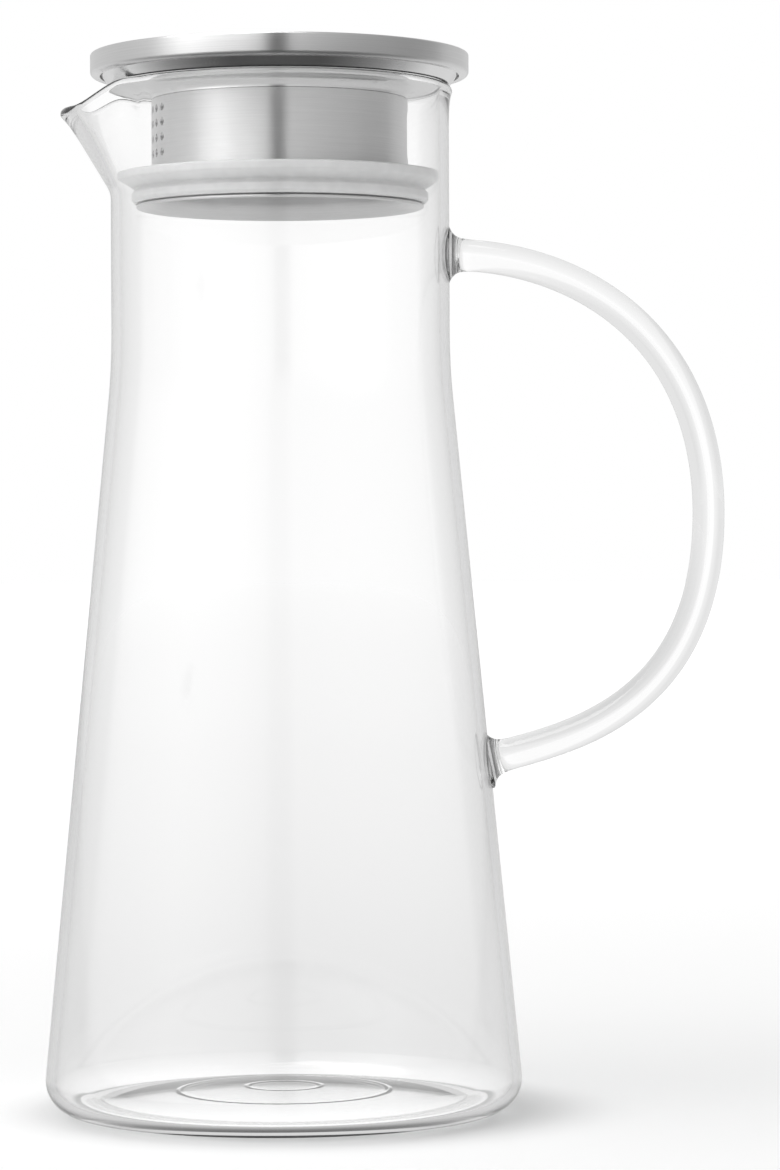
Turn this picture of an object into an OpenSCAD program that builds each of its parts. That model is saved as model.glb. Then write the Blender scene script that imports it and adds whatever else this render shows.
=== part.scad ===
// Glass carafe with a fused glass handle and a lift-off strainer lid.
// Z is the axis of the carafe and the origin is the middle of the ring that it
// rests on. The pouring lip points along -X and the handle along +X.
// All sizes are in millimetres and all angles in degrees.

/* [Carafe] */
// Diameter of the straight neck, outside
neck_d = 82.8; // [76:0.2:90]
// Largest diameter of the body, just above the foot
body_d = 116.5; // [106:0.5:126]
// Height of the rim
rim_z = 250.5; // [236:0.5:270]
// Height at which the straight side would meet the straight neck
taper_top = 182; // [165:1:190]
// Radius of the soft bend between side and neck
shoulder_r = 176; // [60:2:240]
// Thickness of the wall
wall = 2.3; // [1.8:0.1:3]
// Radius of the outside corner at the foot
foot_r = 8; // [5:0.5:11]
// Radius of the inside corner at the floor
floor_r = 5.6; // [4:0.1:9]
// Thickness of the floor at its edge
floor_t = 2.4; // [1.8:0.1:4]
// Thickness of the floor in its middle
floor_mid_t = 2.6; // [1.8:0.1:5]
// Hollow of the underside at its middle
punt = 3.8; // [1:0.1:5]
// Width of the flat ring that the carafe rests on
rest_w = 5.5; // [3:0.5:9]
// Radius of the inner mould ring on the underside
ring_small_r = 8.8; // [6:0.2:14]
// Radius of the outer mould ring on the underside
ring_large_r = 25.3; // [18:0.5:34]
// Radius of the bead that each mould ring is
ring_bead = 0.3; // [0.2:0.1:0.6]

/* [Rim and pouring lip] */
// Radius of the round edge of the rim
rim_bead = 1.35; // [1:0.05:1.6]
// How far the rim leans out from the wall all round
rim_flare = 0.65; // [0:0.05:1.2]
// How far the lip's tip stands out from the neck
lip_reach = 12.1; // [7:0.1:15]
// How far the lip's tip lies below the rim
lip_drop = 5.2; // [2:0.2:9]
// How far below the rim the lip starts to lean out
lip_depth = 25.5; // [18:0.5:32]
// Half of the angle over which the glass is drawn out
lip_spread = 37; // [25:1:55]
// Half of the angle over which the rim dips
dip_spread = 30; // [24:1:60]
// Half of the angle over which the lip's tip stays level
dip_level = 10; // [0:1:16]

/* [Handle] */
// Diameter of the glass rod
handle_d = 7.8; // [6:0.1:10]
// Distance of the rod's middle line from the carafe's axis, at its farthest
handle_reach = 104.6; // [94:0.1:120]
// Height at which the rod leaves the neck
handle_top_z = 209.2; // [196:0.1:212]
// Height at which the rod is farthest out
handle_far_z = 146; // [130:1:160]
// Height at which the rod meets the side
handle_low_z = 85.5; // [70:0.5:100]
// How far the rod spreads where it is fused on
root_flare = 3; // [1:0.1:4.5]
// Distance from the glass over which that spread fades
root_fade = 1.2; // [0.8:0.1:3]

/* [Lid] */
// How far the cap stands out over the neck
cap_over = 4.9; // [3.6:0.1:7]
// Height of the cap's side
cap_h = 5.4; // [4:0.1:9]
// Thickness of the cap's sheet
cap_t = 0.8; // [0.5:0.05:1.2]
// Radius of the cap's top edge
cap_edge_r = 0.5; // [0.3:0.1:2]
// Radius of the cap's rolled lower edge
hem_r = 1.1; // [0.5:0.1:1.6]
// Width of the cap's turned-in hem
hem_w = 2; // [1.6:0.1:2.4]
// Height of the hem over the face that rests on the rim
hem_rise = 2.2; // [1.2:0.1:3]
// Thickness of the underplate's sheet
plate_t = 0.7; // [0.5:0.05:0.9]
// Radius of the flare between underplate and strainer
flare_r = 3.5; // [2.5:0.1:4]
// Length of the underplate's collar inside the strainer
collar_lap = 1.3; // [0.8:0.1:1.4]

/* [Strainer] */
// Width of the ring gap between the strainer and the neck
pour_gap = 7.7; // [6:0.1:10]
// Thickness of the strainer's sheet
tube_t = 0.7; // [0.5:0.05:0.9]
// How far the strainer hangs below the rim
tube_drop = 30; // [27:0.5:38]
// How far the strainer's bell-shaped lower end stands out
flange_w = 3.8; // [2.5:0.1:4.6]
// Diameter of the strainer's holes
hole_d = 1.95; // [1.4:0.05:2.5]
// Distance between rows of holes
hole_pitch = 3.65; // [3:0.05:4]
// Distance of the top row below the rim
hole_drop = 6.2; // [6:0.1:7]
// Rows of holes
hole_rows = 4; // [2:1:4]
// Holes in a row
hole_columns = 9; // [3:1:15]
// Angle between holes in a row
hole_step = 7; // [5.5:0.5:9]
// Width of the free-pouring window
window_w = 12.6; // [8:0.2:20]
// Height of the free-pouring window
window_h = 10; // [8:0.2:11]
// Distance of the window's middle below the rim
window_drop = 12.4; // [11.5:0.1:13]
// Radius of the window's corners
window_r = 3; // [1:0.1:3.8]

/* [Gasket] */
// Height of the gasket
gasket_h = 7.6; // [6.5:0.1:9]
// Height of its sealing lip, from the lip's underside to the top
lip_h = 2.4; // [1.6:0.1:3]
// How far the sealing lip stands out from the gasket's body
lip_w = 2.5; // [1.5:0.1:3]

/* [Fits] */
// Gap between the rim and the lid that rests on it
seat_gap = 0.2; // [0.1:0.05:0.4]
// Gap between the gasket and the neck
gasket_gap = 0.3; // [0.2:0.05:0.6]
// Gap between the gasket's bore and the strainer
bore_gap = 0.08; // [0.05:0.01:0.1]
// Gap between the gasket and the strainer's flange
flange_gap = 0.35; // [0.1:0.05:0.5]

/* [Hidden] */
$fn = 96;

glass = [0.86, 0.92, 0.93, 0.4];
steel = [0.77, 0.78, 0.79];
silicone = [0.88, 0.89, 0.89];

// Carafe
neck_r = neck_d / 2;
neck_in_r = neck_r - wall;
foot_x = body_d / 2 - foot_r;
taper_run = neck_r - foot_x;
taper_rise = taper_top - foot_r;
taper_a = asin(foot_r / norm([taper_run, taper_rise])) - atan2(taper_run, taper_rise);
shoulder_z = taper_top + shoulder_r * tan(taper_a / 2);
floor_z = floor_t + floor_r;
floor_x = neck_r - (wall + floor_r - (taper_top - floor_z) * sin(taper_a)) / cos(taper_a);
rest_in = foot_x - rest_w;

// Drawn neck: a skin whose middle line starts at skin_z and ends in the rim's bead
skin_blend = 4;
skin_z = rim_z - lip_depth - skin_blend;
skin_inset = 0.04;
skin_overlap = 0.6;
skin_sides = 96;
skin_t = [0, 0.07, 0.14, 0.21, 0.3, 0.45, 0.65, 0.82, 0.91, 0.96, 1];
bead_a = [30, 60, 90, 120, 150];

// Handle
handle_r = handle_d / 2;
handle_bite = 3;
handle_sides = 20;
handle_rings = 30;
top_pull = 0.476;
far_pull_up = 0.707;
far_pull_down = 0.855;
low_pull = 0.278;
low_a = 18;

// Lid
cap_r = neck_r + cap_over;
seat_z = rim_z + seat_gap;
hem_z = seat_z + hem_rise;
cap_z = hem_z + cap_h;
plate_out = cap_r - cap_t;
cone_top = cap_r - hem_w - cap_t / 2;
cone_low = cone_top - hem_rise;

// Strainer
tube_r = neck_in_r - pour_gap;
tube_in = tube_r - tube_t;
tube_z = rim_z - tube_drop;
joint_z = seat_z - flare_r;
flange_out = tube_r + flange_w;
flange_flat = 0.1;
bell_r = flange_w - tube_t / 2 - flange_flat;
bell_x = tube_r + bell_r;
bell_z = tube_z + tube_t + bell_r;
hole_span = (hole_columns - 1) * hole_step;

// Gasket
gasket_bore = tube_r + bore_gap;
gasket_out = neck_in_r - gasket_gap;
gasket_body = gasket_out - lip_w;
gasket_z = tube_z + tube_t + flange_gap;
gasket_top = gasket_z + gasket_h;

// Points on an arc about [x, y]
function arc(x, y, r, from, to, steps) =
    [for (i = [0:steps]) let (a = from + (to - from) * i / steps) [x + r * cos(a), y + r * sin(a)]];

// Height of the floor and of the underside at a radius
floor_rise = punt + floor_mid_t - floor_t;
function floor_at(r) = floor_t + floor_rise * (1 - pow(r / floor_x, 2));
function underside_at(r) = punt * (1 - pow(r / rest_in, 2));

// Outline of the carafe's outer face, from the foot up
outer_line = concat(
    [[rest_in, 0], [foot_x, 0]],
    arc(foot_x, foot_r, foot_r, -80, taper_a, 12),
    arc(neck_r + shoulder_r, shoulder_z, shoulder_r, 180 + taper_a, 180, 8));

// Outline of the inner face, from the neck down to the middle of the floor
inner_line = concat(
    arc(neck_r + shoulder_r, shoulder_z, shoulder_r + wall, 180, 180 + taper_a, 8),
    arc(floor_x, floor_z, floor_r, taper_a, -90, 12),
    [for (i = [5:-1:0]) [floor_x * i / 6, floor_at(floor_x * i / 6)]]);

underside_line = [for (i = [0:5]) [rest_in * i / 6, underside_at(rest_in * i / 6)]];

// Share of the full lip or dip at an angle d away from the lip's middle
function bell(d, spread, level) =
    abs(d) >= spread ? 0 : pow(cos(90 * max(abs(d) - level, 0) / (spread - level)), 2);

// How far the lip has leaned out at share t of the skin's height, from 0 to 1
lean_t = (skin_blend + 1) / (lip_depth + skin_blend);
lean_soft = lean_t * 0.5;
function lean(t) =
    t < lean_t - lean_soft ? 0 :
    t < lean_t + lean_soft ? pow(t - lean_t + lean_soft, 2) / (4 * lean_soft) / (1 - lean_t) :
    (t - lean_t) / (1 - lean_t);

// Middle line of the skin, [radius, height]
function skin_mid(t, d) = [
    neck_r - wall / 2 + rim_flare * pow(max(t, 0), 12) + bell(d, lip_spread, 0) * (lip_reach - rim_flare) * lean(t),
    skin_z + t * (lip_depth + skin_blend - rim_bead - bell(d, dip_spread, dip_level) * lip_drop)];
function skin_half(t) = let (base = wall / 2 - skin_inset) base + (rim_bead - base) * pow(t, 10);
function skin_up(t, d) = let (v = skin_mid(t + 0.01, d) - skin_mid(t - 0.01, d)) v / norm(v);
function skin_out(t, d) = let (u = skin_up(t, d)) [u[1], -u[0]];

// Closed outline of the skin at one angle: up the outside, over the bead, down the inside
function skin_line(d) = concat(
    [[neck_r - skin_inset, skin_z - skin_overlap]],
    [for (t = skin_t) skin_mid(t, d) + skin_out(t, d) * skin_half(t)],
    [for (a = bead_a) skin_mid(1, d) + (skin_out(1, d) * cos(a) + skin_up(1, d) * sin(a)) * rim_bead],
    [for (i = [len(skin_t) - 1:-1:0]) skin_mid(skin_t[i], d) - skin_out(skin_t[i], d) * skin_half(skin_t[i])],
    [[neck_in_r + skin_inset, skin_z - skin_overlap]]);

// Faces of a closed tube of rings: n rings of m points, closed on itself or capped
function tube_faces(n, m, closed) = concat(
    [for (i = [0:n - (closed ? 1 : 2)], j = [0:m - 1], k = [0, 1])
        let (a = i * m + j, b = i * m + (j + 1) % m, c = ((i + 1) % n) * m + j, e = ((i + 1) % n) * m + (j + 1) % m)
        k == 0 ? [a, b, e] : [a, e, c]],
    closed ? [] : [[for (j = [m - 1:-1:0]) j], [for (j = [0:m - 1]) (n - 1) * m + j]]);

module drawn_neck() {
    lines = [for (i = [0:skin_sides - 1])
        let (a = 360 * i / skin_sides, d = a - 180)
        [for (p = skin_line(d)) [p[0] * cos(a), p[0] * sin(a), p[1]]]];
    polyhedron(
        points = [for (line = lines, p = line) p],
        faces = tube_faces(skin_sides, len(lines[0]), true),
        convexity = 6);
}

module glass_body() {
    color(glass) {
        rotate_extrude()
            polygon(concat(outer_line, [[neck_r, skin_z], [neck_in_r, skin_z]], inner_line, underside_line));
        drawn_neck();
        for (r = [ring_small_r, ring_large_r])
            rotate_extrude()
                translate([r, underside_at(r)]) circle(ring_bead, $fn = 24);
    }
}

// The carafe's outer form, filled, that the handle's ends are fitted to
module carafe_form() {
    rotate_extrude() polygon(concat([[0, 0]], outer_line, [[neck_r, rim_z], [0, rim_z]]));
}

function side_r(z) = neck_r + (taper_top - z) * tan(taper_a);

function bezier(p, t) =
    pow(1 - t, 3) * p[0] + 3 * pow(1 - t, 2) * t * p[1] + 3 * (1 - t) * t * t * p[2] + pow(t, 3) * p[3];

// The rod's middle line in the XZ plane, in two curves that meet where it is farthest out
top_root = [neck_r, handle_top_z];
low_root = [side_r(handle_low_z), handle_low_z];
low_dir = [cos(low_a), sin(low_a)];
far = [handle_reach, handle_far_z];
top_curve = [
    top_root,
    top_root + [(handle_reach - neck_r) * top_pull, 0],
    far + [0, (handle_top_z - handle_far_z) * far_pull_up],
    far];
low_curve = [
    far,
    far - [0, (handle_far_z - handle_low_z) * far_pull_down],
    low_root + low_dir * (handle_reach - low_root[0]) * low_pull,
    low_root];
rod_line = concat(
    [top_root - [handle_bite, 0]],
    [for (i = [0:handle_rings]) bezier(top_curve, pow(i / handle_rings, 1.6))],
    [for (i = [1:handle_rings]) bezier(low_curve, 1 - pow(1 - i / handle_rings, 1.6))],
    [low_root - low_dir * handle_bite]);

// The rod's radius where its plain surface passes q, wider near the carafe's outer face
function rod_r(q) =
    let (gap = norm([q[0], q[1]]) - max(neck_r, side_r(q[2])))
    handle_r + root_flare * exp(-max(gap, 0) / root_fade);

module glass_handle() {
    last = len(rod_line) - 1;
    rings = [for (i = [0:last])
        let (
            p = rod_line[i],
            v = rod_line[min(i + 1, last)] - rod_line[max(i - 1, 0)],
            u = i < 2 ? [1, 0] : i > last - 2 ? -low_dir : v / norm(v))
        [for (j = [0:handle_sides - 1])
            let (
                a = 360 * j / handle_sides,
                side = [-u[1] * cos(a), sin(a), u[0] * cos(a)],
                middle = [p[0], 0, p[1]])
            middle + side * rod_r(middle + side * handle_r)]];
    color(glass)
        difference() {
            polyhedron(
                points = [for (ring = rings, q = ring) q],
                faces = tube_faces(len(rings), handle_sides, false),
                convexity = 6);
            carafe_form();
        }
}

module lid_cap() {
    color(steel)
        rotate_extrude()
            polygon(concat(
                [[0, cap_z - cap_t], [0, cap_z]],
                arc(cap_r - cap_edge_r, cap_z - cap_edge_r, cap_edge_r, 90, 0, 6),
                arc(cap_r - hem_r, hem_z + hem_r, hem_r, 0, -90, 6),
                [[cap_r - hem_w, hem_z], [cap_r - hem_w, hem_z + cap_t], [cap_r - cap_t, hem_z + cap_t],
                 [cap_r - cap_t, cap_z - cap_t]]));
}

module lid_underplate() {
    flare_x = tube_r + flare_r;
    rise_z = hem_z + cap_t;
    color(steel)
        rotate_extrude()
            polygon(concat(
                [[tube_in - plate_t, joint_z - collar_lap], [tube_in, joint_z - collar_lap], [tube_in, joint_z]],
                arc(flare_x, joint_z, flare_r, 180, 90, 8),
                [[cone_low, seat_z], [cone_top, rise_z], [plate_out, rise_z], [plate_out, rise_z + plate_t],
                 [cone_top - plate_t / 2, rise_z + plate_t], [cone_low - plate_t / 2, seat_z + plate_t]],
                arc(flare_x, joint_z, flare_r + plate_t, 90, 165, 6),
                [[tube_in - plate_t, joint_z + plate_t / 2]]));
}

// A block with round corners that cuts the window, from inside the tube outwards along X
module window_cutter() {
    w = window_w - 2 * window_r;
    h = window_h - 2 * window_r;
    translate([tube_r / 2, 0, rim_z - window_drop]) {
        translate([0, -window_w / 2, -h / 2]) cube([tube_r, window_w, h]);
        translate([0, -w / 2, -window_h / 2]) cube([tube_r, w, window_h]);
        for (y = [-1, 1], z = [-1, 1])
            translate([0, y * w / 2, z * h / 2]) rotate([0, 90, 0]) cylinder(h = tube_r, r = window_r, $fn = 32);
    }
}

module strainer_tube() {
    color(steel)
        difference() {
            rotate_extrude()
                polygon(concat(
                    [[tube_in, joint_z]],
                    arc(bell_x, bell_z, bell_r + tube_t, 180, 270, 10),
                    arc(flange_out - tube_t / 2, tube_z + tube_t / 2, tube_t / 2, -90, 90, 6),
                    arc(bell_x, bell_z, bell_r, 270, 180, 8),
                    [[tube_r, joint_z]]));
            for (row = [0:hole_rows - 1], column = [0:hole_columns - 1])
                rotate([0, 0, 180 - hole_span / 2 + column * hole_step])
                    translate([tube_in - tube_t, 0, rim_z - hole_drop - row * hole_pitch])
                        rotate([0, 90, 0]) cylinder(h = 3 * tube_t, d = hole_d, $fn = 24);
            window_cutter();
        }
}

module silicone_gasket() {
    lip_z = gasket_top - lip_h;
    groove = 0.8;
    corner_r = bell_r - bore_gap;
    color(silicone)
        rotate_extrude()
            polygon(concat(
                arc(bell_x, bell_z, corner_r, 180, 180 + asin((bell_r - flange_gap) / corner_r), 7),
                [[gasket_body - groove, gasket_z],
                 [gasket_body, gasket_z + groove],
                 [gasket_body, gasket_z + 3 * groove],
                 [gasket_body - groove, gasket_z + 4 * groove],
                 [gasket_body - groove, gasket_z + 4.5 * groove],
                 [gasket_out - groove / 2, lip_z],
                 [gasket_out, lip_z + groove / 2],
                 [gasket_out, gasket_top - groove / 2],
                 [gasket_out - groove / 2, gasket_top],
                 [gasket_bore, gasket_top]]));
}

glass_body();
glass_handle();
lid_cap();
lid_underplate();
strainer_tube();
silicone_gasket();
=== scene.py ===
import math

import bpy
from mathutils import Matrix, Vector


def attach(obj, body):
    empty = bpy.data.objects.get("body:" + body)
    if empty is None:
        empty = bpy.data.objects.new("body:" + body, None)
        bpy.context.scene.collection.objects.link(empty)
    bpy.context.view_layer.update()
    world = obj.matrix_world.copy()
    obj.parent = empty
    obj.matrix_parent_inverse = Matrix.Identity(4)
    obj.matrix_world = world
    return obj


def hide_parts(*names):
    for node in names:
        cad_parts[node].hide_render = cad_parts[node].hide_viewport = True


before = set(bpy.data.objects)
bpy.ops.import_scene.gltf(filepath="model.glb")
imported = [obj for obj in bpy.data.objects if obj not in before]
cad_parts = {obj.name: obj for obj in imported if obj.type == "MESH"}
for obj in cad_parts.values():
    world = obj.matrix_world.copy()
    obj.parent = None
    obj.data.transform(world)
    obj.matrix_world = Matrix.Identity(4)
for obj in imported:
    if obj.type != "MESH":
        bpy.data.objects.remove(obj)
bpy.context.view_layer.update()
mm = 0.001
print("frame loaded:", ", ".join(sorted(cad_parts)))


cameraFacts = {
    "distance": 1.020,      # from the carafe's axis
    "side": 0.0265,         # right of the axis
    "height": 0.1333,
    "sensorHeight": 24.0,
    "lens": 85.4,
    "shiftY": -0.0171,
    "roll": -0.27,          # degrees
}
cameraData = bpy.data.cameras.new("camera")
cameraData.sensor_fit = "VERTICAL"
cameraData.sensor_height = cameraFacts["sensorHeight"]
cameraData.lens = cameraFacts["lens"]
cameraData.shift_y = cameraFacts["shiftY"]
camera = bpy.data.objects.new("camera", cameraData)
bpy.context.scene.collection.objects.link(camera)
camera.matrix_world = (
    Matrix.Translation((cameraFacts["side"], -cameraFacts["distance"], cameraFacts["height"]))
    @ Matrix.Rotation(math.radians(90), 4, "X")
    @ Matrix.Rotation(math.radians(cameraFacts["roll"]), 4, "Z"))
bpy.context.scene.camera = camera
print("camera set")


def feed(tree, value, socket):
    if isinstance(value, bpy.types.NodeSocket):
        tree.links.new(value, socket)
    else:
        socket.default_value = value


def addNode(tree, kind, inputs=None, **settings):
    node = tree.nodes.new(kind)
    for key, value in settings.items():
        setattr(node, key, value)
    for key, value in (inputs or {}).items():
        feed(tree, value, node.inputs[key])
    return node


def calc(tree, operation, *values):
    node = addNode(tree, "ShaderNodeMath", operation=operation)
    for value, socket in zip(values, node.inputs):
        feed(tree, value, socket)
    return node.outputs[0]


def lengthOf(tree, x, y):
    return calc(tree, "SQRT", calc(tree, "ADD", calc(tree, "MULTIPLY", x, x), calc(tree, "MULTIPLY", y, y)))


def makeGroup(name, kind, inputs, outputs):
    tree = bpy.data.node_groups.new(name, kind)
    for label, socketType, default in inputs:
        socket = tree.interface.new_socket(label, in_out="INPUT", socket_type=socketType)
        if default is not None:
            socket.default_value = default
    for label, socketType in outputs:
        tree.interface.new_socket(label, in_out="OUTPUT", socket_type=socketType)
    return tree, tree.nodes.new("NodeGroupInput"), tree.nodes.new("NodeGroupOutput")


def spunLinesGroup():
    tree, inlet, outlet = makeGroup(
        "spunLines", "ShaderNodeTree",
        [("Lines", "NodeSocketFloat", 900.0), ("Drift", "NodeSocketFloat", 2.0),
         ("Tone Low", "NodeSocketFloat", 0.9), ("Rough Low", "NodeSocketFloat", 0.2),
         ("Rough High", "NodeSocketFloat", 0.3)],
        [("Tone", "NodeSocketFloat"), ("Roughness", "NodeSocketFloat"), ("Height", "NodeSocketFloat")])
    place = addNode(tree, "ShaderNodeTexCoord").outputs["Object"]
    split = addNode(tree, "ShaderNodeSeparateXYZ", {0: place})
    x, y, z = split.outputs
    radius = lengthOf(tree, x, y)
    around = calc(tree, "ARCTAN2", y, x)
    lines = addNode(tree, "ShaderNodeCombineXYZ", {
        0: calc(tree, "MULTIPLY", radius, inlet.outputs["Lines"]),
        1: calc(tree, "MULTIPLY", z, inlet.outputs["Lines"]),
        2: calc(tree, "MULTIPLY", calc(tree, "COSINE", around), inlet.outputs["Drift"])}).outputs[0]
    noise = addNode(tree, "ShaderNodeTexNoise", {
        "Vector": lines, "W": calc(tree, "MULTIPLY", calc(tree, "SINE", around), inlet.outputs["Drift"]),
        "Scale": 1.0, "Detail": 4.0, "Roughness": 0.65}, noise_dimensions="4D").outputs[0]
    tone = addNode(tree, "ShaderNodeMapRange", {
        "Value": noise, "From Min": 0.25, "From Max": 0.75,
        "To Min": inlet.outputs["Tone Low"], "To Max": 1.0})
    rough = addNode(tree, "ShaderNodeMapRange", {
        "Value": noise, "From Min": 0.25, "From Max": 0.75,
        "To Min": inlet.outputs["Rough Low"], "To Max": inlet.outputs["Rough High"]})
    tree.links.new(tone.outputs[0], outlet.inputs["Tone"])
    tree.links.new(rough.outputs[0], outlet.inputs["Roughness"])
    tree.links.new(noise, outlet.inputs["Height"])
    return tree


def rippleGroup():
    tree, inlet, outlet = makeGroup(
        "softRipple", "ShaderNodeTree",
        [("Across", "NodeSocketFloat", 60.0), ("Along", "NodeSocketFloat", 12.0),
         ("Seed", "NodeSocketFloat", 0.0)],
        [("Height", "NodeSocketFloat")])
    place = addNode(tree, "ShaderNodeTexCoord").outputs["Object"]
    split = addNode(tree, "ShaderNodeSeparateXYZ", {0: place})
    stretched = addNode(tree, "ShaderNodeCombineXYZ", {
        0: calc(tree, "MULTIPLY", split.outputs[0], inlet.outputs["Across"]),
        1: calc(tree, "MULTIPLY", split.outputs[1], inlet.outputs["Across"]),
        2: calc(tree, "MULTIPLY", split.outputs[2], inlet.outputs["Along"])}).outputs[0]
    noise = addNode(tree, "ShaderNodeTexNoise", {
        "Vector": stretched, "W": inlet.outputs["Seed"],
        "Scale": 1.0, "Detail": 1.0, "Roughness": 0.4}, noise_dimensions="4D").outputs[0]
    tree.links.new(noise, outlet.inputs["Height"])
    return tree


spunLines = spunLinesGroup()
softRipple = rippleGroup()


def startMaterial(name):
    material = bpy.data.materials.new(name)
    material.use_nodes = True
    tree = material.node_tree
    tree.nodes.clear()
    out = tree.nodes.new("ShaderNodeOutputMaterial")
    return material, tree, out


glassFacts = {
    "ior": 1.47,
    "shadow": (0.955, 0.96, 0.96, 1),   # share of a lamp's light that each face lets through
    "ripple": 0.22,
    "rippleDepth": 0.00012,
}


def glassMaterial(name, seed, across, along):
    # across and along: waves per metre in the blown glass
    material, tree, out = startMaterial(name)
    ripple = addNode(tree, "ShaderNodeGroup", {
        "Across": across, "Along": along, "Seed": seed}, node_tree=softRipple)
    bump = addNode(tree, "ShaderNodeBump", {
        "Strength": glassFacts["ripple"], "Distance": glassFacts["rippleDepth"],
        "Height": ripple.outputs["Height"]})
    shader = addNode(tree, "ShaderNodeBsdfPrincipled", {
        "Base Color": (1, 1, 1, 1), "Roughness": 0.0, "IOR": glassFacts["ior"],
        "Transmission Weight": 1.0, "Metallic": 0.0, "Normal": bump.outputs[0]})
    clear = addNode(tree, "ShaderNodeBsdfTransparent", {"Color": glassFacts["shadow"]})
    light = addNode(tree, "ShaderNodeLightPath")
    mix = addNode(tree, "ShaderNodeMixShader", {
        0: light.outputs["Is Shadow Ray"], 1: shader.outputs[0], 2: clear.outputs[0]})
    tree.links.new(mix.outputs[0], out.inputs["Surface"])
    return material


steelFacts = {
    "color": (0.80, 0.80, 0.80),
    "anisotropic": 0.97,
    "turn": 0.25,
    "drift": 2.0,           # how much the brushed lines change round the axis
    "bump": 0.3,
}
# lines per metre, the range of roughness, the darkest tone and the lines' depth in metres
capFinish = {"lines": 5200.0, "roughLow": 0.27, "roughHigh": 0.35, "toneLow": 0.86, "depth": 0.00001}
plateFinish = {"lines": 3000.0, "roughLow": 0.10, "roughHigh": 0.16, "toneLow": 0.95, "depth": 0.000003}
strainerFinish = {"lines": 4200.0, "roughLow": 0.30, "roughHigh": 0.38, "toneLow": 0.88, "depth": 0.00001}


def steelMaterial(name, finish):
    material, tree, out = startMaterial(name)
    brush = addNode(tree, "ShaderNodeGroup", {
        "Lines": finish["lines"], "Drift": steelFacts["drift"], "Tone Low": finish["toneLow"],
        "Rough Low": finish["roughLow"], "Rough High": finish["roughHigh"]}, node_tree=spunLines)
    color = addNode(tree, "ShaderNodeMix", data_type="RGBA", blend_type="MULTIPLY")
    color.inputs[0].default_value = 1.0
    color.inputs[6].default_value = (*steelFacts["color"], 1)
    tree.links.new(brush.outputs["Tone"], color.inputs[7])
    bump = addNode(tree, "ShaderNodeBump", {
        "Strength": steelFacts["bump"], "Distance": finish["depth"], "Height": brush.outputs["Height"]})
    tangent = addNode(tree, "ShaderNodeTangent", direction_type="RADIAL", axis="Z")
    shader = addNode(tree, "ShaderNodeBsdfPrincipled", {
        "Base Color": color.outputs[2], "Metallic": 1.0, "Roughness": brush.outputs["Roughness"],
        "Anisotropic": steelFacts["anisotropic"], "Anisotropic Rotation": steelFacts["turn"],
        "Tangent": tangent.outputs[0], "Normal": bump.outputs[0]})
    tree.links.new(shader.outputs[0], out.inputs["Surface"])
    return material


siliconeFacts = {
    "color": (0.72, 0.72, 0.72),
    "grain": 400.0,         # lumps per metre
    "toneLow": 0.93,
    "roughLow": 0.34,
    "roughHigh": 0.42,
    "bump": 0.2,
    "depth": 0.00004,
    "ior": 1.5,
    "inner": 0.35,          # share of the light that spreads inside
    "innerReach": 0.004,
}


def siliconeMaterial():
    material, tree, out = startMaterial("siliconeSatin")
    ripple = addNode(tree, "ShaderNodeGroup", {
        "Across": siliconeFacts["grain"], "Along": siliconeFacts["grain"]}, node_tree=softRipple)
    tone = addNode(tree, "ShaderNodeMapRange", {
        "Value": ripple.outputs["Height"], "From Min": 0.3, "From Max": 0.7,
        "To Min": siliconeFacts["toneLow"], "To Max": 1.0})
    color = addNode(tree, "ShaderNodeMix", data_type="RGBA", blend_type="MULTIPLY")
    color.inputs[0].default_value = 1.0
    color.inputs[6].default_value = (*siliconeFacts["color"], 1)
    tree.links.new(tone.outputs[0], color.inputs[7])
    rough = addNode(tree, "ShaderNodeMapRange", {
        "Value": ripple.outputs["Height"], "From Min": 0.3, "From Max": 0.7,
        "To Min": siliconeFacts["roughLow"], "To Max": siliconeFacts["roughHigh"]})
    bump = addNode(tree, "ShaderNodeBump", {
        "Strength": siliconeFacts["bump"], "Distance": siliconeFacts["depth"],
        "Height": ripple.outputs["Height"]})
    shader = addNode(tree, "ShaderNodeBsdfPrincipled", {
        "Base Color": color.outputs[2], "Roughness": rough.outputs[0], "IOR": siliconeFacts["ior"],
        "Subsurface Weight": siliconeFacts["inner"], "Subsurface Scale": siliconeFacts["innerReach"],
        "Subsurface Radius": (1.0, 1.0, 1.0), "Normal": bump.outputs[0]})
    tree.links.new(shader.outputs[0], out.inputs["Surface"])
    return material


bodyGlass = glassMaterial("clearGlassBody", seed=0.0, across=45.0, along=6.0)
handleGlass = glassMaterial("clearGlassRod", seed=3.0, across=60.0, along=30.0)
capSteel = steelMaterial("spunSteelCap", capFinish)
plateSteel = steelMaterial("polishedSteelPlate", plateFinish)
tubeSteel = steelMaterial("spunSteelStrainer", strainerFinish)
satinSilicone = siliconeMaterial()
print("materials made")


def dress(tree, shape, inlet, outlet):
    # one real mesh with the material that the tree is given
    real = addNode(tree, "GeometryNodeRealizeInstances", {"Geometry": shape}).outputs[0]
    dressed = addNode(tree, "GeometryNodeSetMaterial", {
        "Geometry": real, "Material": inlet.outputs["Material"]}).outputs[0]
    tree.links.new(dressed, outlet.inputs[0])


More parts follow.
